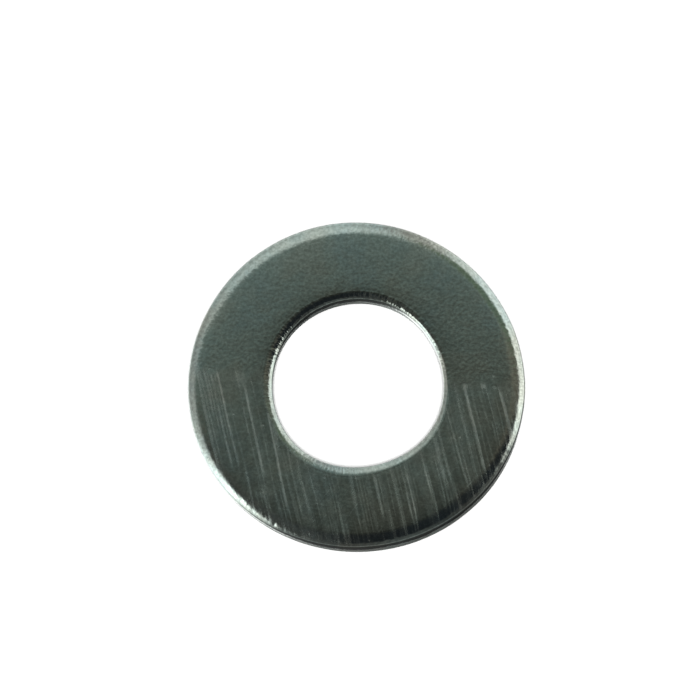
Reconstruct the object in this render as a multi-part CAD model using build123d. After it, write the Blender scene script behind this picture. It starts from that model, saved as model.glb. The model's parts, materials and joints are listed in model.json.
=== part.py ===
from build123d import *
import os

# Flat washer, narrow series for a 3/8 in bolt, blanked and pierced from steel strip.
# All sizes are in millimetres.
#
# Frame: the origin is on the axis of the hole, in the plane of the flat underside.
# +Z runs along that axis and points out of the rolled face, where the press tool
# drew the edges of the strip down before it cut through them.

OUTER_DIAMETER = 20.62
HOLE_DIAMETER = 10.45
THICKNESS = 1.65

# Roll: the rounded shoulder that the cut leaves on the upper face.
OUTER_ROLL_WIDTH = 0.95
OUTER_ROLL_DEPTH = 0.30
HOLE_ROLL_WIDTH = 0.62
HOLE_ROLL_DEPTH = 0.24

# Below the roll each wall is a straight burnished land, and below that the torn
# part of the cut, which leans into the metal by a small amount.
LAND_FOOT_HEIGHT = 0.85
TEAR_LEAN = 0.04

# The lower corners are blunted by barrel tumbling before plating.
TUMBLED_RADIUS = 0.10

NODE = "washer"


def washer_section():
    """Half section of the washer in the XZ plane, right of the axis."""
    outer_radius = OUTER_DIAMETER / 2
    hole_radius = HOLE_DIAMETER / 2
    torn_outer_radius = outer_radius - TEAR_LEAN
    torn_hole_radius = hole_radius + TEAR_LEAN
    outer_roll_foot = THICKNESS - OUTER_ROLL_DEPTH
    hole_roll_foot = THICKNESS - HOLE_ROLL_DEPTH

    underside_from = (torn_hole_radius + TUMBLED_RADIUS, 0)
    underside_to = (torn_outer_radius - TUMBLED_RADIUS, 0)
    face_from = (hole_radius + HOLE_ROLL_WIDTH, THICKNESS)
    face_to = (outer_radius - OUTER_ROLL_WIDTH, THICKNESS)

    with BuildSketch(Plane.XZ) as section:
        with BuildLine():
            Line(underside_from, underside_to)
            CenterArc(
                center=(underside_to[0], TUMBLED_RADIUS),
                radius=TUMBLED_RADIUS,
                start_angle=270,
                arc_size=90,
            )
            Polyline(
                (torn_outer_radius, TUMBLED_RADIUS),
                (outer_radius, LAND_FOOT_HEIGHT),
                (outer_radius, outer_roll_foot),
            )
            EllipticalCenterArc(
                center=(face_to[0], outer_roll_foot),
                x_radius=OUTER_ROLL_WIDTH,
                y_radius=OUTER_ROLL_DEPTH,
                start_angle=0,
                arc_size=90,
            )
            Line(face_to, face_from)
            EllipticalCenterArc(
                center=(face_from[0], hole_roll_foot),
                x_radius=HOLE_ROLL_WIDTH,
                y_radius=HOLE_ROLL_DEPTH,
                start_angle=90,
                arc_size=90,
            )
            Polyline(
                (hole_radius, hole_roll_foot),
                (hole_radius, LAND_FOOT_HEIGHT),
                (torn_hole_radius, TUMBLED_RADIUS),
            )
            CenterArc(
                center=(underside_from[0], TUMBLED_RADIUS),
                radius=TUMBLED_RADIUS,
                start_angle=180,
                arc_size=90,
            )
        make_face()
    return section.sketch


def washer():
    """The whole washer: its section turned once round the axis of the hole."""
    return revolve(washer_section(), axis=Axis.Z, revolution_arc=360)


os.makedirs("parts", exist_ok=True)
solid = washer()
solid.label = NODE
export_step(solid, f"parts/{NODE}.step")

size = solid.bounding_box().size
print(f"{NODE}: {size.X:.3f} x {size.Y:.3f} x {size.Z:.3f} mm, {solid.volume:.1f} mm3")
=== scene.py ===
import json
import math

import bpy
import numpy as np
from mathutils import Matrix, Vector, noise


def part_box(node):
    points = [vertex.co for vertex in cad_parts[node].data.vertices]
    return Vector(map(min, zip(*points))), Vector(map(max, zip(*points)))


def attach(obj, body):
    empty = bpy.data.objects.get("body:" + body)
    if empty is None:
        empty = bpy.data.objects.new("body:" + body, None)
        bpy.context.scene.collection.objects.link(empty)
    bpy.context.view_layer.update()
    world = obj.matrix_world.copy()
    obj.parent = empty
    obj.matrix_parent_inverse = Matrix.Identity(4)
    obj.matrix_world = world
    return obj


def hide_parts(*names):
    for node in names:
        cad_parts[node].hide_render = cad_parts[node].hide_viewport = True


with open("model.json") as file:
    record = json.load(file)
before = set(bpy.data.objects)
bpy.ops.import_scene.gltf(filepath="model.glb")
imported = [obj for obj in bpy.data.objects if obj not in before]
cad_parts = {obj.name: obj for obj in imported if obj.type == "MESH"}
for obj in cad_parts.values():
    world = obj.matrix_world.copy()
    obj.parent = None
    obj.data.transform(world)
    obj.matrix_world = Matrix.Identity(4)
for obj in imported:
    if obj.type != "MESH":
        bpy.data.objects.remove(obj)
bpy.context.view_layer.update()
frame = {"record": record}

# A flat washer stamped from steel strip and zinc plated. Lengths below are in millimetres
# unless a name ends in _M, which is metres, or the text says otherwise. Sides, spans and turns
# are in degrees, clockwise from +Y.
MM = 0.001
NODE = "washer"

# ---------------------------------------------------------------- sizes from the frame
low_corner, high_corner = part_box(NODE)
OUTER_RADIUS = (high_corner.x - low_corner.x) / 2 / MM
THICKNESS = (high_corner.z - low_corner.z) / MM
mounts = {mount["name"]: mount for mount in frame["record"]["mounts"]}
HOLE_RADIUS = mounts["bolt_hole"]["dims"]["r_mm"]
LAND_LENGTH = mounts["bolt_hole"]["dims"]["length_mm"]
LAND_MIDDLE = mounts["bolt_hole"]["pos_m"][2] / MM

# ---------------------------------------------------------------- shape of a stamped edge
OUTER_ROLL_WIDTH = 0.95
OUTER_ROLL_DEPTH = 0.30
HOLE_ROLL_WIDTH = 0.62
HOLE_ROLL_DEPTH = 0.24
LAND_FOOT = LAND_MIDDLE - LAND_LENGTH / 2
TUMBLED_RADIUS = 0.10

# The press tool was not quite central, so its gap was tight on one side of each wall. There the
# land is longest and the rim's torn part is nearly upright. Elsewhere the land loses some of
# its foot and the rim's torn part leans into the metal. The hole's leans evenly.
OUTER_TIGHT_SIDE = 148.0
OUTER_TIGHT_SPAN = 75.0
HOLE_TIGHT_SIDE = 84.0
HOLE_TIGHT_SPAN = 90.0
LOOSE_LAND_LOSS = 0.15
OUTER_TIGHT_LEAN = 0.01
OUTER_LOOSE_LEAN = 0.09
HOLE_LEAN = 0.12

# Both rolls vary in width. The hole's is narrower where the gap was tight, wider on another
# side, and shallower over one stretch. All but the sides and the span are shares of the width
# or the depth.
ROLL_UNEVENNESS = 0.07
HOLE_ROLL_TIGHT_LOSS = 0.27
HOLE_ROLL_WIDENING = 0.09
HOLE_ROLL_WIDE_SIDE = 240.0
HOLE_ROLL_SHALLOWNESS = 0.50
HOLE_ROLL_SHALLOW_SIDE = 42.0
HOLE_ROLL_SHALLOW_SPAN = 42.0

# The hole was pierced a little off centre along X, and neither outline is quite round: each wave is
# (crests round the ring, height of a crest, where one crest lies). A measuring script compared the
# photo's outlines with a render's. The places of the crests come from that measure, and the shift
# and the heights are that measure, adjusted.
HOLE_SHIFT = 0.11
RIM_WAVES = [(2, 0.045, 132), (3, 0.042, 111)]
HOLE_WAVES = [(2, 0.030, 175), (3, 0.050, 112), (4, 0.030, 34)]

# Between the rolls the face is very slightly crowned. Each crown starts at a radius.
OUTER_CROWN_START = 7.6
OUTER_CROWN_DEPTH = 0.040
HOLE_CROWN_START = 7.0
HOLE_CROWN_DEPTH = 0.012

# Tumbling also wore the ridge between the roll and the land.
RIDGE_WEAR_DEPTH = 0.03
RIDGE_WEAR_SIZE = 0.08

# How far the real surface strays into the metal from the ideal one.
OUTLINE_WANDER = 0.012
FACE_WANDER = 0.004
OUTER_ROLL_GRAIN = 0.002
HOLE_ROLL_GRAIN = 0.005
SHEAR_MARK_DEPTH = 0.006
TEAR_STEP = 0.004
COARSE_TEAR_DEPTH = 0.0126
FINE_TEAR_DEPTH = 0.0054

# How far the foot of a land strays up and down. Its finer ragged edge is a share of that.
LAND_FOOT_WANDER = 0.10
LAND_FOOT_FINE_SHARE = 0.35

# Small dents that tumbling left along both upper edges; one in three is at the hole. Their
# distance from the wall, size and depth are drawn evenly from these ranges, and their middles
# lie this far below the face.
NICK_COUNT = 46
NICK_INSET = (0.03, 0.22)
NICK_SIZE = (0.06, 0.17)
NICK_DEPTH = (0.006, 0.02)
NICK_DROP = 0.1

# What share of the torn look the tumbled corner and the very foot of a land have.
CORNER_TORN_SHARE = 0.3
LAND_FOOT_TORN_SHARE = 0.5

# Patterns of noise: the size of their features, and the layer that they are cut from. Shear
# marks are drawn out along the height of the wall.
RIM_FOOT_NOISE = (1.6, 3)
RIM_FINE_FOOT_NOISE = (0.5, 4)
HOLE_FOOT_NOISE = (1.6, 5)
HOLE_FINE_FOOT_NOISE = (0.5, 6)
RIM_ROLL_WIDTH_NOISE = (5.0, 7)
HOLE_ROLL_WIDTH_NOISE = (5.0, 9)
OUTLINE_NOISE = (1.8, 12)
FACE_NOISE = (3.5, 13)
ROLL_GRAIN_NOISE = (0.20, 14)
SHEAR_MARK_NOISE = (0.16, 15)
COARSE_TEAR_NOISE = (0.30, 16)
FINE_TEAR_NOISE = (0.13, 17)
LAYER_SHIFT = 17.3
NOISE_GAIN = 1.6
SHEAR_MARK_STRETCH = 9

# ---------------------------------------------------------------- mesh resolution
ANGLE_STEPS = 960
RINGS = {
    "underside": 10,
    "tumbled corner": 4,
    "torn wall": 11,
    "land": 8,
    "outer roll": 18,
    "face": 18,
    "hole roll": 13,
}

# The direction out of the metal at each wall: away from the axis or towards it.
RIM = 1
HOLE = -1

random_draws = np.random.default_rng(41)
angles = np.linspace(0, 2 * math.pi, ANGLE_STEPS, endpoint=False)
angle_cos = np.cos(angles)
angle_sin = np.sin(angles)
clockwise_turns = 90 - np.degrees(angles)


def noise_at(x, y, z, size, layer):
    """Smooth noise from about -1 to 1 with features `size` mm across; layer picks another pattern."""
    shape = np.broadcast(x, y, z).shape
    flat = [np.broadcast_to(a, shape).ravel() / size for a in (x, y, z)]
    shift = LAYER_SHIFT * layer
    values = [noise.noise(Vector((a + shift, b, c - shift))) for a, b, c in zip(*flat)]
    return np.array(values).reshape(shape) * NOISE_GAIN


def round_the_ring(size, layer):
    """Noise that changes with the angle only and closes on itself, features `size` mm at the rim."""
    return noise_at(OUTER_RADIUS * angle_cos, OUTER_RADIUS * angle_sin, 0.0, size, layer)


def positive(values):
    """Noise from about -1 to 1 brought to about 0 to 1."""
    return 0.5 + 0.5 * values


class Section:
    """The washer's section as rings: each has a radius and a height for every angle, and zones.

    The rings run outwards along the underside, up the rim, inwards over the face and down the
    hole. The zones are numbers from 0 to 1 that the material reads.
    """

    ZONES = ("top", "roll", "land", "torn")

    def __init__(self):
        self.radius = []
        self.height = []
        self.zone = {name: [] for name in self.ZONES}

    def ring(self, radius, height, **zones):
        flat = np.zeros(ANGLE_STEPS)
        self.radius.append(flat + radius)
        self.height.append(flat + height)
        for name in self.ZONES:
            self.zone[name].append(flat + zones.get(name, 0.0))


def shares(count, first=False, last=False):
    """Evenly spaced numbers between 0 and 1, with or without the two ends."""
    steps = np.linspace(0, 1, count + 1)
    return steps[0 if first else 1 : count + 1 if last else count]


def outline_waves(waves):
    """How far an outline lies beyond its mean circle at each angle."""
    turns = np.radians(clockwise_turns)
    return sum(height * np.cos(count * (turns - math.radians(crest))) for count, height, crest in waves)


def nearness(middle, span):
    """At each angle, 1 at the middle turn, falling smoothly to 0 where it is `span` degrees away."""
    away = (clockwise_turns - middle + 180) % 360 - 180
    return 0.5 + 0.5 * np.cos(np.clip(np.abs(away) / span, 0, 1) * math.pi)


def tightness(side):
    """At each angle, 1 where the gap of the press tool was tight and 0 where it was wide."""
    if side == RIM:
        return nearness(OUTER_TIGHT_SIDE, OUTER_TIGHT_SPAN)
    return nearness(HOLE_TIGHT_SIDE, HOLE_TIGHT_SPAN)


def tear_lean(side):
    """How far the foot of a wall leans into the metal at each angle."""
    if side == HOLE:
        return np.full(ANGLE_STEPS, HOLE_LEAN)
    return OUTER_LOOSE_LEAN + (OUTER_TIGHT_LEAN - OUTER_LOOSE_LEAN) * tightness(side)


def land_foot(side):
    """The height of the ragged line between the land and the torn part at each angle."""
    broad = RIM_FOOT_NOISE if side == RIM else HOLE_FOOT_NOISE
    fine = RIM_FINE_FOOT_NOISE if side == RIM else HOLE_FINE_FOOT_NOISE
    ragged = round_the_ring(*broad) + LAND_FOOT_FINE_SHARE * round_the_ring(*fine)
    return LAND_FOOT + LAND_FOOT_WANDER * ragged + LOOSE_LAND_LOSS * (1 - tightness(side))


def wall(section, radius, side, roll_foot, upwards):
    """One cut wall: tumbled corner, torn part and burnished land. side is RIM or HOLE."""
    foot = land_foot(side)
    lean = tear_lean(side)
    rings = []
    for share in shares(RINGS["tumbled corner"], first=True):
        turn = share * math.pi / 2
        out = lean + TUMBLED_RADIUS * (1 - math.sin(turn))
        height = TUMBLED_RADIUS * (1 - math.cos(turn))
        rings.append((radius - side * out, height, {"torn": CORNER_TORN_SHARE}))
    for share in shares(RINGS["torn wall"], first=True):
        height = TUMBLED_RADIUS + share * (foot - TUMBLED_RADIUS)
        rings.append((radius - side * (1 - share) * lean, height, {"torn": 1.0}))
    for share in shares(RINGS["land"], first=True):
        height = foot + share * (roll_foot - foot)
        torn = LAND_FOOT_TORN_SHARE if share == 0 else 0.0
        rings.append((radius, height, {"land": 1.0, "torn": torn}))
    for ring_radius, height, zones in rings if upwards else reversed(rings):
        section.ring(ring_radius, height, **zones)


def outer_roll_width():
    """The width of the rim's roll at each angle: the gap of the press tool is never quite even."""
    return OUTER_ROLL_WIDTH * (1 + ROLL_UNEVENNESS * round_the_ring(*RIM_ROLL_WIDTH_NOISE))


def hole_roll_width():
    """The width of the hole's roll at each angle."""
    width = HOLE_ROLL_WIDTH * (1 + ROLL_UNEVENNESS * round_the_ring(*HOLE_ROLL_WIDTH_NOISE))
    from_wide_side = np.radians(clockwise_turns - HOLE_ROLL_WIDE_SIDE)
    width = width * (1 + HOLE_ROLL_WIDENING * np.cos(from_wide_side))
    return width * (1 - HOLE_ROLL_TIGHT_LOSS * tightness(HOLE))


def hole_roll_depth():
    """The depth of the hole's roll at each angle."""
    shallow = nearness(HOLE_ROLL_SHALLOW_SIDE, HOLE_ROLL_SHALLOW_SPAN)
    return HOLE_ROLL_DEPTH * (1 - HOLE_ROLL_SHALLOWNESS * shallow)


def roll(section, radius, side, width, depth, count, upwards):
    """The rounded shoulder between a wall and the face: a quarter of an ellipse."""
    for share in shares(count, first=True, last=True):
        turn = (share if upwards else 1 - share) * math.pi / 2
        out = width * (1 - math.cos(turn))
        steep = math.cos(turn)
        section.ring(
            radius - side * out,
            THICKNESS - depth * (1 - math.sin(turn)),
            top=1.0,
            roll=steep,
        )


def washer_section():
    section = Section()
    inner_flat = HOLE_RADIUS + tear_lean(HOLE) + TUMBLED_RADIUS
    outer_flat = OUTER_RADIUS - tear_lean(RIM) - TUMBLED_RADIUS
    outer_width = outer_roll_width()
    hole_width = hole_roll_width()
    hole_depth = hole_roll_depth()
    for share in shares(RINGS["underside"]):
        section.ring(inner_flat + share * (outer_flat - inner_flat), 0.0)
    wall(section, OUTER_RADIUS, RIM, THICKNESS - OUTER_ROLL_DEPTH, upwards=True)
    roll(section, OUTER_RADIUS, RIM, outer_width, OUTER_ROLL_DEPTH, RINGS["outer roll"], upwards=True)
    outer_end = OUTER_RADIUS - outer_width
    inner_end = HOLE_RADIUS + hole_width
    for share in shares(RINGS["face"]):
        section.ring(outer_end + share * (inner_end - outer_end), THICKNESS, top=1.0)
    roll(section, HOLE_RADIUS, HOLE, hole_width, hole_depth, RINGS["hole roll"], upwards=False)
    wall(section, HOLE_RADIUS, HOLE, THICKNESS - hole_depth, upwards=False)
    return section


def crown(radius):
    """How far the face falls away from its highest ring, towards the rim and towards the hole."""
    outwards = (radius - OUTER_CROWN_START) / (OUTER_RADIUS - OUTER_CROWN_START)
    inwards = (HOLE_CROWN_START - radius) / (HOLE_CROWN_START - HOLE_RADIUS)
    falls = OUTER_CROWN_DEPTH * np.clip(outwards, 0, 1) ** 2
    return falls + HOLE_CROWN_DEPTH * np.clip(inwards, 0, 1) ** 2


def ridge_wear(radius, height):
    """How much tumbling took off the ridges at the foot of the two rolls."""
    rim = np.hypot(radius - OUTER_RADIUS, height - (THICKNESS - OUTER_ROLL_DEPTH))
    hole = np.hypot(radius - HOLE_RADIUS, height - (THICKNESS - hole_roll_depth()))
    nearest = np.minimum(rim, hole)
    return RIDGE_WEAR_DEPTH * np.exp(-((nearest / RIDGE_WEAR_SIZE) ** 2))


def nicks(x, y, z):
    """The dents along both upper edges, as a depth."""
    depth = np.zeros_like(x)
    for number in range(NICK_COUNT):
        on_rim = number % 3 != 0
        angle = random_draws.uniform(0, 2 * math.pi)
        inset = random_draws.uniform(*NICK_INSET)
        size = random_draws.uniform(*NICK_SIZE)
        deep = random_draws.uniform(*NICK_DEPTH)
        radius = OUTER_RADIUS - inset if on_rim else HOLE_RADIUS + inset
        height = THICKNESS - NICK_DROP
        away = (x - radius * math.cos(angle)) ** 2 + (y - radius * math.sin(angle)) ** 2
        depth += deep * np.exp(-(away + (z - height) ** 2) / size**2)
    return depth


def surface_depth(radius, height, zone, out_radius):
    """How far the surface strays into the metal: wander, grain, shear marks, tears, wear and nicks."""
    x = radius * angle_cos
    y = radius * angle_sin
    is_rim = np.clip(out_radius, 0, 1)
    is_wall = np.maximum(zone["land"], zone["torn"])
    depth = OUTLINE_WANDER * np.clip(positive(round_the_ring(*OUTLINE_NOISE)), 0, 1) * is_rim
    depth = depth + FACE_WANDER * positive(noise_at(x, y, height, *FACE_NOISE)) * zone["top"]
    roll_grain = np.where(radius > (OUTER_RADIUS + HOLE_RADIUS) / 2, OUTER_ROLL_GRAIN, HOLE_ROLL_GRAIN)
    depth = depth + roll_grain * positive(noise_at(x, y, height, *ROLL_GRAIN_NOISE)) * zone["roll"]
    shear_marks = positive(noise_at(x, y, height / SHEAR_MARK_STRETCH, *SHEAR_MARK_NOISE))
    depth = depth + SHEAR_MARK_DEPTH * shear_marks * is_wall
    coarse_tears = COARSE_TEAR_DEPTH * np.abs(noise_at(x, y, height, *COARSE_TEAR_NOISE))
    fine_tears = FINE_TEAR_DEPTH * positive(noise_at(x, y, height, *FINE_TEAR_NOISE))
    depth = depth + (TEAR_STEP + coarse_tears + fine_tears) * zone["torn"]
    depth = depth + ridge_wear(radius, height) + nicks(x, y, height)
    return np.clip(depth, 0, None)


def washer_points(section, zone):
    """The mesh's points in metres, ring by ring."""
    radius = np.array(section.radius)
    height = np.array(section.height)
    height = height - crown(radius) * zone["top"]

    along_radius = np.roll(radius, -1, 0) - np.roll(radius, 1, 0)
    along_height = np.roll(height, -1, 0) - np.roll(height, 1, 0)
    length = np.hypot(along_radius, along_height)
    out_radius = along_height / length
    out_height = -along_radius / length

    depth = surface_depth(radius, height, zone, out_radius)
    radius = radius - depth * out_radius
    height = np.clip(height - depth * out_height, 0, THICKNESS)
    near_hole = np.clip((OUTER_RADIUS - radius) / (OUTER_RADIUS - HOLE_RADIUS), 0, 1)
    rim_waves = outline_waves(RIM_WAVES)
    radius = radius + (rim_waves - rim_waves.max()) * (1 - near_hole)
    radius = radius + outline_waves(HOLE_WAVES) * near_hole
    x = radius * angle_cos + HOLE_SHIFT * near_hole
    y = radius * angle_sin
    return np.stack([x, y, height], -1).reshape(-1, 3) * MM


def ring_quads(ring_count):
    """The faces between each ring and the next, and from the last ring back to the first."""
    ring_here, step_here = np.meshgrid(np.arange(ring_count), np.arange(ANGLE_STEPS), indexing="ij")
    ring_next = (ring_here + 1) % ring_count
    step_next = (step_here + 1) % ANGLE_STEPS
    corners = [
        ring_here * ANGLE_STEPS + step_here,
        ring_here * ANGLE_STEPS + step_next,
        ring_next * ANGLE_STEPS + step_next,
        ring_next * ANGLE_STEPS + step_here,
    ]
    return np.stack(corners, -1).reshape(-1, 4)


def washer_mesh():
    section = washer_section()
    zone = {name: np.array(values) for name, values in section.zone.items()}
    points = washer_points(section, zone)
    mesh = bpy.data.meshes.new("stamped_washer")
    mesh.from_pydata(points.tolist(), [], ring_quads(len(section.radius)).tolist())
    for name, values in zone.items():
        attribute = mesh.attributes.new(name, "FLOAT", "POINT")
        attribute.data.foreach_set("value", values.ravel().astype(np.float32))
    mesh.shade_smooth()
    mesh.validate()
    return mesh


# ---------------------------------------------------------------- node trees
class Graph:
    """Adds nodes to one tree. An input may be a number, a colour, a vector or another socket."""

    def __init__(self, tree):
        self.tree = tree
        tree.nodes.clear()

    def node(self, kind, inputs=None, **settings):
        made = self.tree.nodes.new(kind)
        for name, value in settings.items():
            setattr(made, name, value)
        for key, value in (inputs or {}).items():
            self.feed(made.inputs[key], value)
        return made

    def feed(self, socket, value):
        if isinstance(value, bpy.types.NodeSocket):
            self.tree.links.new(value, socket)
        else:
            socket.default_value = value

    def math(self, operation, *values):
        inputs = dict(enumerate(values))
        return self.node("ShaderNodeMath", inputs, operation=operation).outputs[0]

    def total(self, *values):
        result = values[0]
        for value in values[1:]:
            result = self.math("ADD", result, value)
        return result

    def product(self, *values):
        result = values[0]
        for value in values[1:]:
            result = self.math("MULTIPLY", result, value)
        return result

    def vector(self, operation, a, b):
        made = self.node("ShaderNodeVectorMath", {0: a, 1: b}, operation=operation)
        return made.outputs["Value" if operation in ("DOT_PRODUCT", "DISTANCE") else "Vector"]

    def scaled(self, vector, factor):
        return self.node("ShaderNodeVectorMath", {0: vector, 3: factor}, operation="SCALE").outputs[0]

    def mix(self, factor, a, b):
        """Goes from the number a to the number b as factor goes from 0 to 1."""
        return self.total(a, self.product(factor, self.math("SUBTRACT", b, a)))

    def step(self, value, start, end, low=0.0, high=1.0):
        """Goes smoothly from low to high as value goes from start to end."""
        inputs = {0: value, 1: start, 2: end, 3: low, 4: high}
        return self.node("ShaderNodeMapRange", inputs, interpolation_type="SMOOTHSTEP").outputs[0]

    def ramp(self, value, stops):
        """A colour for each value from 0 to 1; stops are (value, colour) in rising order."""
        made = self.node("ShaderNodeValToRGB", {0: value})
        elements = made.color_ramp.elements
        while len(elements) > 1:
            elements.remove(elements[-1])
        elements[0].position = stops[0][0]
        elements[0].color = (*stops[0][1], 1)
        for position, colour in stops[1:]:
            elements.new(position).color = (*colour, 1)
        return made.outputs["Color"]

    def blend(self, factor, a, b, kind="MIX"):
        made = self.node("ShaderNodeMix", data_type="RGBA", blend_type=kind)
        self.feed(made.inputs[0], factor)
        self.feed(made.inputs[6], a)
        self.feed(made.inputs[7], b)
        return made.outputs[2]

    def noise(self, vector, size, detail=1.0, roughness=0.5):
        """Noise from 0 to 1 with features `size` mm across, when vector is in millimetres."""
        inputs = {"Vector": vector, "Scale": 1 / size, "Detail": detail, "Roughness": roughness}
        return self.node("ShaderNodeTexNoise", inputs).outputs["Fac"]

    def attribute(self, name):
        return self.node("ShaderNodeAttribute", attribute_name=name).outputs["Fac"]


# ---------------------------------------------------------------- marks on the face
# Most scratches lean about this far from the Y axis, in degrees, and run down and to the right.
# The long ones fade in and out over these lengths.
RUB_LEAN = 12.5
SCRATCH_FADE_IN = 0.5
SCRATCH_FADE_OUT = 1.2

# The long scratches: where each starts (x, y), its length, its lean, its half width and its
# strength. They were placed by eye on crops of the photo. An editing script later scaled the
# widths and strengths of most of them.
LONG_SCRATCHES = [
    (-9.2, 1.1, 3.6, 12.0, 0.12, 0.62),
    (-8.8, 0.9, 6.8, 12.5, 0.14, 0.76),
    (-8.4, 0.9, 6.9, 12.5, 0.13, 0.76),
    (-9.0, 1.0, 4.6, 12.0, 0.11, 0.42),
    (-8.6, 1.0, 5.2, 12.5, 0.10, 0.45),
    (-8.1, -0.3, 3.4, 14.0, 0.09, 0.41),
    (-6.8, 0.0, 6.3, 12.5, 0.12, 0.82),
    (-6.9, -1.2, 5.4, 13.0, 0.09, 0.45),
    (-5.4, -1.6, 6.9, 11.5, 0.12, 0.82),
    (-5.3, -7.2, 1.6, 17.0, 0.09, 0.41),
    (-4.5, -3.7, 2.6, 14.0, 0.11, 0.41),
    (-4.2, -3.8, 5.0, 12.0, 0.11, 0.45),
    (-3.6, -4.4, 4.6, 12.0, 0.09, 0.49),
    (-1.8, -5.3, 4.3, 12.5, 0.09, 0.49),
    (0.4, -8.2, 1.4, 9.0, 0.09, 0.41),
    (1.1, -5.6, 3.4, 12.5, 0.14, 0.78),
    (2.9, -4.8, 4.2, 13.0, 0.11, 0.66),
    (3.0, -6.6, 2.2, 13.0, 0.09, 0.49),
    (3.9, -4.2, 3.3, 14.0, 0.11, 0.53),
    (4.8, -3.0, 4.2, 12.0, 0.17, 0.66),
    (5.5, -1.4, 6.0, 14.0, 0.12, 0.74),
    (6.6, -0.2, 6.3, 12.5, 0.17, 0.82),
    (6.3, -0.6, 2.2, 15.0, 0.09, 0.33),
    (7.5, -0.7, 2.8, 15.0, 0.11, 0.41),
    (8.2, -2.3, 2.2, 12.5, 0.09, 0.49),
    (8.7, -0.4, 2.9, 13.5, 0.11, 0.49),
]

# Scuffs: where each lies (x, y), its radius and its strength.
SCUFFS = [
    (-7.2, 0.3, 0.85, 0.34),
    (-8.9, 1.0, 0.14, 0.70),
    (-7.4, -1.9, 0.12, 0.90),
    (-5.6, -2.6, 0.12, 0.90),
    (-5.5, -6.8, 0.90, 0.30),
    (6.6, -0.3, 0.32, 0.85),
    (7.7, -0.3, 0.32, 0.80),
    (8.4, -0.4, 0.24, 0.75),
    (8.3, 0.3, 0.24, 0.65),
]

# Fine lines: (lean, width, length, the noise above which a line shows).
FINE_LINES = (RUB_LEAN, 0.12, 6.0, 0.54)
BANDS = (RUB_LEAN, 0.34, 7.0, 0.50)
STEEP_CROSS_LINES = (80, 0.09, 2.2, 0.68)
SLANTED_CROSS_LINES = (-38, 0.09, 1.8, 0.70)
HAIRLINE_SOFTNESS = 0.12

# What breaks up the long scratches: (lean, width, length) of its streaks, and how its noise
# becomes a share of the scratch: (noise from, noise to, share from, share to).
BREAKS = (RUB_LEAN, 0.25, 0.8)
BREAK_SHARES = (0.30, 0.55, 0.60, 1.0)

# The rubbed part lies below a line across the face, which falls towards +X.
RUB_SLOPE = 0.075
RUB_TOP = 0.75
RUB_FULL = 0.05
RUB_WAVER = 0.25
RUB_WAVER_SIZE = 4.0

SPECK_SPACING = 0.9
SPECK_RADIUS = 0.12
SPECK_CUT = 0.55
MOTTLE_SIZE = 0.16
MOTTLE_SHARES = (0.25, 0.6, 0.35, 1.0)

SCRATCH_STRENGTH = 0.90
FINE_LINE_STRENGTH = 0.31
BAND_STRENGTH = 0.20
CROSS_LINE_STRENGTH = 0.18
SPECK_STRENGTH = 0.7


def scratch_group():
    """A node group: 1 on one straight scratch, 0 away from it, soft at its sides and ends."""
    tree = bpy.data.node_groups.new("scratch", "ShaderNodeTree")
    for name in ("Position", "Start", "Along", "Across"):
        tree.interface.new_socket(name, in_out="INPUT", socket_type="NodeSocketVector")
    for name in ("Length", "Half width"):
        tree.interface.new_socket(name, in_out="INPUT", socket_type="NodeSocketFloat")
    tree.interface.new_socket("Mask", in_out="OUTPUT", socket_type="NodeSocketFloat")
    graph = Graph(tree)
    given = graph.node("NodeGroupInput").outputs
    result = graph.node("NodeGroupOutput")
    offset = graph.vector("SUBTRACT", given["Position"], given["Start"])
    along = graph.vector("DOT_PRODUCT", offset, given["Along"])
    across = graph.math("ABSOLUTE", graph.vector("DOT_PRODUCT", offset, given["Across"]))
    side = graph.step(across, given["Half width"], 0.0)
    begins = graph.step(along, 0.0, SCRATCH_FADE_IN)
    left = graph.math("SUBTRACT", given["Length"], along)
    ends = graph.step(left, 0.0, SCRATCH_FADE_OUT)
    graph.feed(result.inputs["Mask"], graph.product(side, begins, ends))
    return tree


def long_scratches(graph, position):
    """All the long scratches as one mask."""
    group = scratch_group()
    mask = 0.0
    for start_x, start_y, length, lean, half_width, strength in LONG_SCRATCHES:
        angle = math.radians(lean)
        made = graph.node("ShaderNodeGroup", node_tree=group)
        values = {
            "Position": position,
            "Start": (start_x, start_y, 0),
            "Along": (math.sin(angle), -math.cos(angle), 0),
            "Across": (math.cos(angle), math.sin(angle), 0),
            "Length": length,
            "Half width": half_width,
        }
        for key, value in values.items():
            graph.feed(made.inputs[key], value)
        mask = graph.math("MAXIMUM", mask, graph.math("MULTIPLY", made.outputs[0], strength))
    return mask


def drawn_out(graph, position, lean, width, length, detail=0.0):
    """Noise from 0 to 1 drawn out into streaks that lean from the Y axis."""
    angle = math.radians(lean)
    along = graph.vector("DOT_PRODUCT", position, (math.sin(angle), -math.cos(angle), 0))
    across = graph.vector("DOT_PRODUCT", position, (math.cos(angle), math.sin(angle), 0))
    across = graph.math("DIVIDE", across, width)
    along = graph.math("DIVIDE", along, length)
    stretched = graph.node("ShaderNodeCombineXYZ", {0: across, 1: along, 2: lean})
    return graph.noise(stretched.outputs[0], 1.0, detail)


def hairlines(graph, position, lean, width, length, cut):
    """Fine scratches, all leaning the same way: the peaks of drawn-out noise."""
    return graph.step(drawn_out(graph, position, lean, width, length), cut, cut + HAIRLINE_SOFTNESS)


def specks(graph, position):
    """Small bright pits, sparse and scattered."""
    cells = graph.node("ShaderNodeTexVoronoi", {"Vector": position, "Scale": 1 / SPECK_SPACING})
    chosen = graph.node("ShaderNodeSeparateColor", {0: cells.outputs["Color"]}).outputs[0]
    size = graph.step(chosen, SPECK_CUT, 1.0, 0.0, SPECK_RADIUS)
    return graph.step(cells.outputs["Distance"], size, 0.0)


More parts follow.
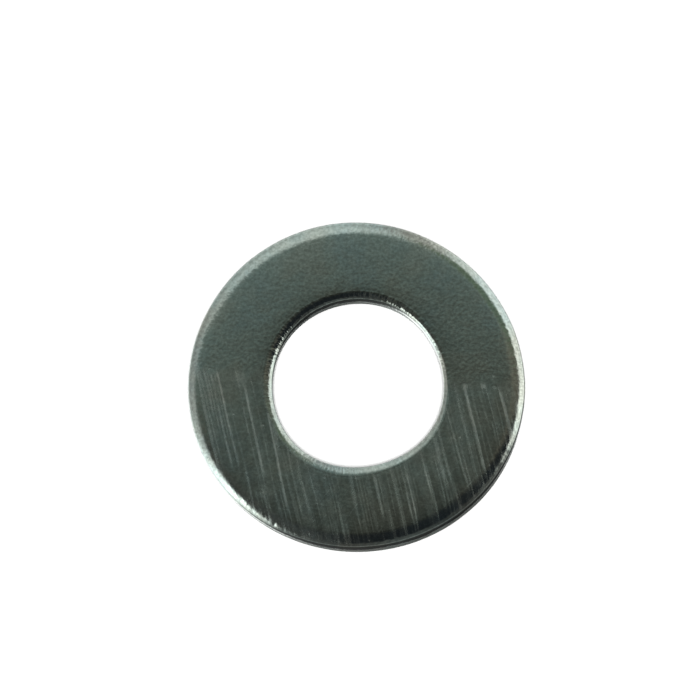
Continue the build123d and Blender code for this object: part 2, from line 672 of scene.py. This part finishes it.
def scuffs(graph, position):
    """Soft spots where something knocked against the face, as one mottled mask."""
    mask = 0.0
    for x, y, radius, strength in SCUFFS:
        away = graph.vector("DISTANCE", position, (x, y, 0))
        spot = graph.step(away, radius, 0.0, 0.0, strength)
        mask = graph.math("MAXIMUM", mask, spot)
    mottle = graph.step(graph.noise(position, MOTTLE_SIZE), *MOTTLE_SHARES)
    return graph.product(mask, mottle)


def wavering_position(graph, position, flat_position):
    """The place on the face, swayed a little so that no scratch is quite straight."""
    inputs = {"Vector": position, "Scale": 1 / RUB_WAVER_SIZE, "Detail": 0.0}
    sway = graph.node("ShaderNodeTexNoise", inputs).outputs["Color"]
    swayed = graph.vector("ADD", flat_position, graph.scaled(sway, RUB_WAVER))
    return graph.vector("SUBTRACT", swayed, (RUB_WAVER / 2,) * 3)


def rubbed_part(graph, position, top):
    """1 on the part of the face that was rubbed, 0 elsewhere."""
    parts = graph.node("ShaderNodeSeparateXYZ", {0: position}).outputs
    rub_start = graph.total(parts["Y"], graph.product(parts["X"], RUB_SLOPE))
    return graph.product(graph.step(rub_start, RUB_TOP, RUB_FULL), top)


def face_marks(graph, position, flat_position, rubbed, top):
    """Scratches, fine lines, bands, scuffs and specks as one mask from 0 to 1."""
    wavering = wavering_position(graph, position, flat_position)
    scratches = graph.product(long_scratches(graph, wavering), top)
    breaks = graph.step(drawn_out(graph, wavering, *BREAKS, detail=1.0), *BREAK_SHARES)
    scratches = graph.product(scratches, breaks)
    fine_lines = graph.product(hairlines(graph, wavering, *FINE_LINES), rubbed)
    bands = graph.product(hairlines(graph, wavering, *BANDS), rubbed)
    cross_lines = graph.math(
        "MAXIMUM",
        hairlines(graph, flat_position, *STEEP_CROSS_LINES),
        hairlines(graph, flat_position, *SLANTED_CROSS_LINES),
    )
    marks = graph.total(
        graph.product(scratches, SCRATCH_STRENGTH),
        graph.product(fine_lines, FINE_LINE_STRENGTH),
        graph.product(bands, BAND_STRENGTH),
        graph.product(scuffs(graph, flat_position), top),
        graph.product(cross_lines, top, CROSS_LINE_STRENGTH),
        graph.product(specks(graph, flat_position), top, SPECK_STRENGTH),
    )
    return graph.math("MINIMUM", marks, 1.0)


# ---------------------------------------------------------------- zinc plated steel
PEBBLE_SIZE = 0.21
RUBBED_GRAIN = (RUB_LEAN, 0.22, 0.8)
RUBBED_GRAIN_SHARE = 0.6
BROAD_SIZE = 0.8
STREAK_SIZE = 0.20
STREAKS_ROUND = 9.0
STREAK_SHORTENING = 0.35
TORN_GRAIN_SIZE = 0.10

# From the first radius to the second the bump goes from the rim's to the hole's.
RIM_BUMP_RADIUS = 7.6
HOLE_BUMP_RADIUS = 7.0

# Heights of the bump in micrometres.
MICROMETRE_M = 1e-6
GRAIN_HEIGHT = 3.6
BROAD_HEIGHT = 4.0
OUTER_ROLL_GRAIN_HEIGHT = 9.0
HOLE_ROLL_GRAIN_HEIGHT = 20.0
OUTER_ROLL_STREAK_HEIGHT = 6.5
HOLE_ROLL_STREAK_HEIGHT = 16.0
LAND_STREAK_HEIGHT = 5.0
TORN_GRAIN_HEIGHT = 30.0
MARK_HEIGHT = -1.5

# The clear passivation tints the zinc in soft cool and warm patches. Each pair is the noise from
# which a tint or the pores begin, and the noise at which they are full.
COOL_ZINC = (0.550, 0.655, 0.640, 1)
PLAIN_ZINC = (0.575, 0.660, 0.620, 1)
WARM_ZINC = (0.615, 0.655, 0.595, 1)
TORN_ZINC = (0.45, 0.48, 0.46, 1)
BLACK = (0.0, 0.0, 0.0, 1)
PATCH_SIZE = 3.0
PLAIN_PATCHES = (0.35, 0.5)
WARM_PATCHES = (0.5, 0.68)
SMALL_PATCH_SIZE = 0.55
SMALL_PATCHES = (0.4, 0.65)
SMALL_PATCH_STRENGTH = 0.30
PORE_SIZE = 0.16
PORES = (0.32, 0.68)
PORE_DARKEST = 0.82
PORE_LIGHTEST = 1.14
TORN_COLOUR_STRENGTH = 0.5

# Painted shade: the face's colour is darkened towards black in a ring round the hole, from the first
# radius to full at the second.
HOLE_SHADE_START = 6.9
HOLE_SHADE_FULL = 5.8
HOLE_SHADE_STRENGTH = 0.14

ROUGHNESS = 0.095
SMEAR_SIZE = 1.1
SMEAR_ROUGHNESS = 0.07
MARK_ROUGHNESS = 0.28
TORN_ROUGHNESS = 0.35
LAND_ROUGHNESS = -0.05
TORN_METAL_LOSS = 0.12


def face_grain(graph, position, flat_position, rubbed):
    """The pebbled skin of the strip, partly drawn out into streaks where it was rubbed."""
    pebbles = graph.noise(position, PEBBLE_SIZE)
    streaky = drawn_out(graph, flat_position, *RUBBED_GRAIN, detail=1.0)
    return graph.mix(graph.product(rubbed, RUBBED_GRAIN_SHARE), pebbles, streaky)


def radial_streaks(graph, flat_position, distance):
    """Short streaks across the rolls and lands, where the press tool stretched the metal."""
    radial = graph.node("ShaderNodeVectorMath", {0: flat_position}, operation="NORMALIZE").outputs[0]
    lift = graph.node("ShaderNodeCombineXYZ", {2: graph.product(distance, STREAK_SHORTENING)}).outputs[0]
    return graph.noise(graph.vector("ADD", graph.scaled(radial, STREAKS_ROUND), lift), STREAK_SIZE)


def zinc_bump(graph, position, flat_position, distance, grain, marks, zones):
    """Grain, broad unevenness, streaks, tears and marks as a bump."""
    near_hole = graph.step(distance, RIM_BUMP_RADIUS, HOLE_BUMP_RADIUS)
    roll_grain_height = graph.mix(near_hole, OUTER_ROLL_GRAIN_HEIGHT, HOLE_ROLL_GRAIN_HEIGHT)
    roll_streak_height = graph.mix(near_hole, OUTER_ROLL_STREAK_HEIGHT, HOLE_ROLL_STREAK_HEIGHT)
    grain_height = graph.total(GRAIN_HEIGHT, graph.product(zones["roll"], roll_grain_height))
    streak_height = graph.total(
        graph.product(zones["roll"], roll_streak_height),
        graph.product(zones["land"], LAND_STREAK_HEIGHT),
    )
    torn_grain = graph.noise(position, TORN_GRAIN_SIZE, detail=2.0, roughness=0.6)
    height = graph.total(
        graph.product(grain, grain_height),
        graph.product(graph.noise(position, BROAD_SIZE), BROAD_HEIGHT),
        graph.product(radial_streaks(graph, flat_position, distance), streak_height),
        graph.product(torn_grain, graph.product(zones["torn"], TORN_GRAIN_HEIGHT)),
        graph.product(marks, MARK_HEIGHT),
    )
    inputs = {"Height": height, "Distance": MICROMETRE_M, "Strength": 1.0}
    return graph.node("ShaderNodeBump", inputs).outputs[0]


def zinc_colour(graph, position, distance, grain, zones):
    """The tinted zinc, darker in its pores and in the torn part, with painted shade round the hole."""
    patches = graph.noise(position, PATCH_SIZE, detail=2.0)
    small_patches = graph.noise(position, SMALL_PATCH_SIZE)
    colour = graph.blend(graph.step(patches, *PLAIN_PATCHES), COOL_ZINC, PLAIN_ZINC)
    colour = graph.blend(graph.step(patches, *WARM_PATCHES), colour, WARM_ZINC)
    small = graph.product(graph.step(small_patches, *SMALL_PATCHES), SMALL_PATCH_STRENGTH)
    colour = graph.blend(small, colour, WARM_ZINC)
    speckle = graph.mix(0.5, grain, graph.noise(position, PORE_SIZE))
    pores = graph.step(speckle, *PORES, PORE_DARKEST, PORE_LIGHTEST)
    pore_colour = graph.node("ShaderNodeCombineColor", {0: pores, 1: pores, 2: pores}).outputs[0]
    colour = graph.blend(zones["top"], colour, pore_colour, "MULTIPLY")
    colour = graph.blend(graph.product(zones["torn"], TORN_COLOUR_STRENGTH), colour, TORN_ZINC)
    off_roll = graph.math("SUBTRACT", 1.0, zones["roll"])
    # Painted shade round the hole, on the face but not on the roll.
    hole_shade = graph.product(graph.step(distance, HOLE_SHADE_START, HOLE_SHADE_FULL), off_roll, zones["top"])
    return graph.blend(graph.product(hole_shade, HOLE_SHADE_STRENGTH), colour, BLACK)


def zinc_roughness(graph, position, marks, zones):
    """Rougher in marks and tears, smoother on the burnished land, uneven in soft smears."""
    smears = graph.noise(position, SMEAR_SIZE, detail=3.0, roughness=0.6)
    return graph.total(
        graph.product(smears, SMEAR_ROUGHNESS),
        graph.product(marks, MARK_ROUGHNESS),
        graph.product(zones["torn"], TORN_ROUGHNESS),
        graph.product(zones["land"], LAND_ROUGHNESS),
        ROUGHNESS,
    )


def zinc_material():
    material = bpy.data.materials.new("zinc_plated_steel")
    material.use_nodes = True
    graph = Graph(material.node_tree)
    zones = {name: graph.attribute(name) for name in Section.ZONES}
    position = graph.scaled(graph.node("ShaderNodeTexCoord").outputs["Object"], 1 / MM)
    flat_position = graph.vector("MULTIPLY", position, (1, 1, 0))
    length = graph.node("ShaderNodeVectorMath", {0: flat_position}, operation="LENGTH")
    distance = length.outputs["Value"]

    rubbed = rubbed_part(graph, position, zones["top"])
    marks = face_marks(graph, position, flat_position, rubbed, zones["top"])
    grain = face_grain(graph, position, flat_position, rubbed)
    inputs = {
        "Base Color": zinc_colour(graph, position, distance, grain, zones),
        "Metallic": graph.math("SUBTRACT", 1.0, graph.product(zones["torn"], TORN_METAL_LOSS)),
        "Roughness": zinc_roughness(graph, position, marks, zones),
        "Normal": zinc_bump(graph, position, flat_position, distance, grain, marks, zones),
    }
    shader = graph.node("ShaderNodeBsdfPrincipled", inputs)
    output = graph.node("ShaderNodeOutputMaterial")
    graph.feed(output.inputs["Surface"], shader.outputs[0])
    return material


def make_washer():
    washer = bpy.data.objects.new("stamped_washer", washer_mesh())
    bpy.context.scene.collection.objects.link(washer)
    washer.data.materials.append(zinc_material())
    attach(washer, "root")
    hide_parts(NODE)


# ---------------------------------------------------------------- studio
# The tables below were set, draft by draft, against brightness profiles measured on the
# photo and on the render. So they carry the photo's own highlights round the ring.
#
# Light that comes from each side, from the edge of the window there down to the horizon:
# (turn, level, tint).
NEUTRAL = (1.00, 1.00, 0.96)
COOL = (0.93, 1.00, 0.98)
SIDE_LIGHT = [
    (-180, 0.07, NEUTRAL),
    (-157, 0.08, NEUTRAL),
    (-148, 0.12, NEUTRAL),
    (-140, 0.34, NEUTRAL),
    (-133, 0.98, NEUTRAL),
    (-125, 1.65, NEUTRAL),
    (-117, 2.30, NEUTRAL),
    (-110, 2.30, NEUTRAL),
    (-103, 1.60, NEUTRAL),
    (-96, 1.00, NEUTRAL),
    (-88, 0.58, NEUTRAL),
    (-78, 0.43, NEUTRAL),
    (-58, 0.37, NEUTRAL),
    (-44, 0.49, COOL),
    (-25, 0.63, COOL),
    (-10, 0.72, COOL),
    (1, 0.65, COOL),
    (6, 0.46, NEUTRAL),
    (13, 0.36, NEUTRAL),
    (19, 0.66, NEUTRAL),
    (35, 1.12, NEUTRAL),
    (66, 1.18, NEUTRAL),
    (74, 1.65, NEUTRAL),
    (84, 1.45, NEUTRAL),
    (91, 1.50, NEUTRAL),
    (97, 0.62, NEUTRAL),
    (105, 0.08, NEUTRAL),
    (115, 0.09, NEUTRAL),
    (125, 0.06, NEUTRAL),
    (137, 0.045, NEUTRAL),
    (159, 0.11, COOL),
    (180, 0.07, COOL),
]
# The sides grow dimmer towards the horizon: (degrees from the zenith, share of the level).
SIDE_FADE = [(0, 1.0), (40, 1.0), (60, 0.80), (180, 0.80)]
# Light near the zenith, by the sine of the lean towards the pale side.
PALE_SIDE_TURN = -14.0
OVERHEAD_LIGHT = [
    (-1.00, (0.014, 0.017, 0.020)),
    (0.05, (0.014, 0.017, 0.020)),
    (0.10, (0.021, 0.023, 0.022)),
    (0.14, (0.026, 0.028, 0.025)),
    (0.17, (0.033, 0.035, 0.031)),
    (0.19, (0.040, 0.042, 0.037)),
    (0.205, (0.048, 0.050, 0.044)),
    (0.225, (0.060, 0.063, 0.054)),
    (0.245, (0.079, 0.085, 0.073)),
    (0.262, (0.115, 0.131, 0.116)),
    (0.295, (0.138, 0.170, 0.160)),
    (0.34, (0.168, 0.205, 0.193)),
    (1.00, (0.200, 0.235, 0.220)),
]
# Patches of the ceiling that differ. Each is (where it begins and is full along X, the same
# along Y, whether its colour is added or multiplied, the colour), in parts of a unit direction.
CEILING_PATCHES = [
    ((0.02, 0.14), (0.10, 0.22), "ADD", (0.100, 0.090, 0.073)),
    ((0.04, 0.13), (0.30, 0.37), "MULTIPLY", (0.50, 0.58, 0.45)),
    ((-0.06, -0.16), (0.26, 0.10), "ADD", (0.055, 0.054, 0.049)),
    ((-0.14, -0.27), (0.42, 0.26), "MULTIPLY", (0.80, 0.77, 0.74)),
]
# How far from the zenith the side windows begin: (turn, degrees from the zenith). They fade in
# over a few degrees to either side of that.
WINDOW_EDGE = [
    (-180, 28),
    (-150, 41),
    (-138, 39),
    (-126, 34.5),
    (-116, 31.5),
    (-105, 27),
    (-90, 28.5),
    (-71, 30.5),
    (-56, 32.5),
    (-42, 31.5),
    (-30, 27.5),
    (-16, 25),
    (-6, 25),
    (3, 27.5),
    (10, 32.5),
    (18, 38),
    (26, 36.5),
    (40, 35.5),
    (50, 35),
    (64, 34),
    (75, 33),
    (92, 35),
    (105, 37),
    (125, 30),
    (180, 28),
]
EDGE_SOFTNESS = 4.0
# A faint glow all round, low over the horizon: (degrees from the zenith, level).
HORIZON_GLOW = [(0, 0.0), (66, 0.0), (72, 0.24), (79, 0.24), (86, 0.10), (95, 0.10), (106, 0.0)]
# Light that comes up from the table, which is in shadow on one side of the washer: (turn,
# level). It takes over between two angles from the zenith.
LOW_LIGHT = [
    (-180, 0.045),
    (-150, 0.06),
    (-131, 0.12),
    (-121, 0.36),
    (-110, 0.95),
    (-98, 1.50),
    (-91, 1.55),
    (-51, 1.20),
    (-30, 0.70),
    (-11, 0.45),
    (29, 0.70),
    (50, 0.42),
    (69, 0.17),
    (90, 0.05),
    (109, 0.02),
    (149, 0.035),
    (180, 0.045),
]
LOW_LIGHT_START = 95.0
LOW_LIGHT_FULL = 140.0
# Levels are divided by this in the ramps, so that their colours stay below 1, and multiplied by
# it after them.
RAMP_SCALE = 3.0


def along_turn(degrees):
    """Where a turn lies on a ramp that goes once round."""
    return (degrees + 180) / 360


def grey(level):
    """A colour with the same level in each channel."""
    return (level,) * 3


def side_light(graph, round_share, down_share):
    """The windows at the sides and the glow over the horizon."""
    stops = [
        (along_turn(turn), tuple(level * channel / RAMP_SCALE for channel in tint))
        for turn, level, tint in SIDE_LIGHT
    ]
    fade_stops = [(angle / 180, grey(share)) for angle, share in SIDE_FADE]
    glow_stops = [(angle / 180, grey(level / RAMP_SCALE)) for angle, level in HORIZON_GLOW]
    side = graph.ramp(round_share, stops)
    side = graph.blend(1.0, side, graph.ramp(down_share, fade_stops), "MULTIPLY")
    return graph.blend(1.0, side, graph.ramp(down_share, glow_stops), "ADD")


def overhead_light(graph, direction, parts):
    """The ceiling: dim, paler towards one side, with patches."""
    turn = math.radians(PALE_SIDE_TURN)
    lean = graph.vector("DOT_PRODUCT", direction, (math.sin(turn), math.cos(turn), 0))
    stops = [
        ((value + 1) / 2, tuple(channel / RAMP_SCALE for channel in colour))
        for value, colour in OVERHEAD_LIGHT
    ]
    overhead = graph.ramp(graph.product(graph.math("ADD", lean, 1.0), 0.5), stops)
    for along_x, along_y, kind, colour in CEILING_PATCHES:
        scale = RAMP_SCALE if kind == "ADD" else 1.0
        patch = graph.product(graph.step(parts["X"], *along_x), graph.step(parts["Y"], *along_y))
        changed = graph.blend(1.0, overhead, (*(channel / scale for channel in colour), 1), kind)
        overhead = graph.blend(patch, overhead, changed)
    return overhead


def studio_dome():
    """The light that the metal reflects: a dim ceiling with soft windows round it.

    The camera itself sees plain white, like the table.
    """
    world = bpy.data.worlds.new("studio_dome")
    bpy.context.scene.world = world
    world.use_nodes = True
    graph = Graph(world.node_tree)
    direction = graph.node("ShaderNodeTexCoord").outputs["Generated"]
    parts = graph.node("ShaderNodeSeparateXYZ", {0: direction}).outputs
    from_zenith = graph.product(graph.math("ARCCOSINE", parts["Z"]), 180 / math.pi)
    clockwise = graph.product(graph.math("ARCTAN2", parts["X"], parts["Y"]), 180 / math.pi)
    round_share = graph.math("DIVIDE", graph.math("ADD", clockwise, 180.0), 360.0)
    down_share = graph.math("DIVIDE", from_zenith, 180.0)

    side = side_light(graph, round_share, down_share)
    overhead = overhead_light(graph, direction, parts)
    low_stops = [(along_turn(turn), grey(level / RAMP_SCALE)) for turn, level in LOW_LIGHT]
    low_light = graph.ramp(round_share, low_stops)
    edge_stops = [(along_turn(turn), grey(angle / 90)) for turn, angle in WINDOW_EDGE]
    edge = graph.product(graph.ramp(round_share, edge_stops), 90.0)
    beyond = graph.math("SUBTRACT", from_zenith, edge)
    light = graph.blend(graph.step(beyond, -EDGE_SOFTNESS, EDGE_SOFTNESS), overhead, side)
    light = graph.blend(graph.step(from_zenith, LOW_LIGHT_START, LOW_LIGHT_FULL), light, low_light)

    lit = graph.node("ShaderNodeBackground", {"Color": light, "Strength": RAMP_SCALE})
    plain = graph.node("ShaderNodeBackground", {"Color": (1.0, 1.0, 1.0, 1), "Strength": 1.0})
    seen = graph.node("ShaderNodeLightPath").outputs["Is Camera Ray"]
    chosen = graph.node("ShaderNodeMixShader", {0: seen, 1: lit.outputs[0], 2: plain.outputs[0]})
    output = graph.node("ShaderNodeOutputWorld")
    graph.feed(output.inputs["Surface"], chosen.outputs[0])


# ---------------------------------------------------------------- table
FLOOR_RADIUS_M = 0.6
FLOOR_GAP_M = 2e-6
FLOOR_SIDES = 128
FLOOR_COLOUR = (0.50, 0.50, 0.50, 1)
FLOOR_ROUGHNESS = 0.9


def floor_mesh():
    corners = []
    for side in range(FLOOR_SIDES):
        angle = 2 * math.pi * side / FLOOR_SIDES
        corners.append((FLOOR_RADIUS_M * math.cos(angle), FLOOR_RADIUS_M * math.sin(angle), -FLOOR_GAP_M))
    mesh = bpy.data.meshes.new("floor")
    mesh.from_pydata(corners, [], [list(range(FLOOR_SIDES))])
    return mesh


def floor():
    """A pale table top. The metal doesn't mirror it, so the wall stays darker than the table."""
    table_top = bpy.data.objects.new("floor", floor_mesh())
    bpy.context.scene.collection.objects.link(table_top)
    table_top.visible_glossy = False
    material = bpy.data.materials.new("pale_table")
    material.use_nodes = True
    shader = material.node_tree.nodes["Principled BSDF"]
    shader.inputs["Base Color"].default_value = FLOOR_COLOUR
    shader.inputs["Roughness"].default_value = FLOOR_ROUGHNESS
    shader.inputs["Specular IOR Level"].default_value = 0.0
    table_top.data.materials.append(material)


# ---------------------------------------------------------------- camera and its lamp
# These values began as a least-squares fit to the photo's outlines and were then adjusted.
#
# The camera looks down on the face from a little off its axis: its tilt is from the axis, and
# its turn is the side that it stands on. It aims beside the middle of the face, by these lengths
# to the right and up as it sees them. The lamp stands with it, and its spread is in degrees.
CAMERA_DISTANCE = 260.0
CAMERA_TILT = 15.0
CAMERA_TURN = 171.0
VIEW_WIDTH = 42.37
AIM_RIGHT = -0.338
AIM_UP = 1.980
SENSOR_WIDTH = 36.0
CLIP_START_M = 0.001
CLIP_END_M = 10.0
LAMP_ENERGY = 6.0
LAMP_SPREAD = 12.0


def camera():
    tilt = math.radians(CAMERA_TILT)
    turn = math.radians(CAMERA_TURN)
    back = Vector((math.sin(tilt) * math.sin(turn), math.sin(tilt) * math.cos(turn), math.cos(tilt)))
    right = Vector((0, 1, 0)).cross(back).normalized()
    up = back.cross(right)
    middle = Vector((0, 0, THICKNESS * MM))
    place = middle + back * CAMERA_DISTANCE * MM
    aim = middle + right * AIM_RIGHT * MM + up * AIM_UP * MM
    view_back = (place - aim).normalized()
    view_right = up.cross(view_back).normalized()
    view_up = view_back.cross(view_right)
    facing = Matrix((view_right, view_up, view_back)).transposed().to_4x4()

    data = bpy.data.cameras.new("camera")
    data.sensor_width = SENSOR_WIDTH
    data.lens = SENSOR_WIDTH * CAMERA_DISTANCE / VIEW_WIDTH
    data.clip_start = CLIP_START_M
    data.clip_end = CLIP_END_M
    made = bpy.data.objects.new("camera", data)
    bpy.context.scene.collection.objects.link(made)
    made.matrix_world = Matrix.Translation(place) @ facing
    bpy.context.scene.camera = made
    return made


def table_light(beside):
    """A soft lamp beside the camera for the table alone, kept out of the metal's reflections."""
    light = bpy.data.lights.new("table_light", "SUN")
    light.energy = LAMP_ENERGY
    light.angle = math.radians(LAMP_SPREAD)
    lamp = bpy.data.objects.new("table_light", light)
    lamp.matrix_world = beside.matrix_world
    lamp.visible_glossy = False
    bpy.context.scene.collection.objects.link(lamp)


make_washer()
studio_dome()
floor()
table_light(camera())
bpy.context.scene.view_settings.view_transform = "Standard"
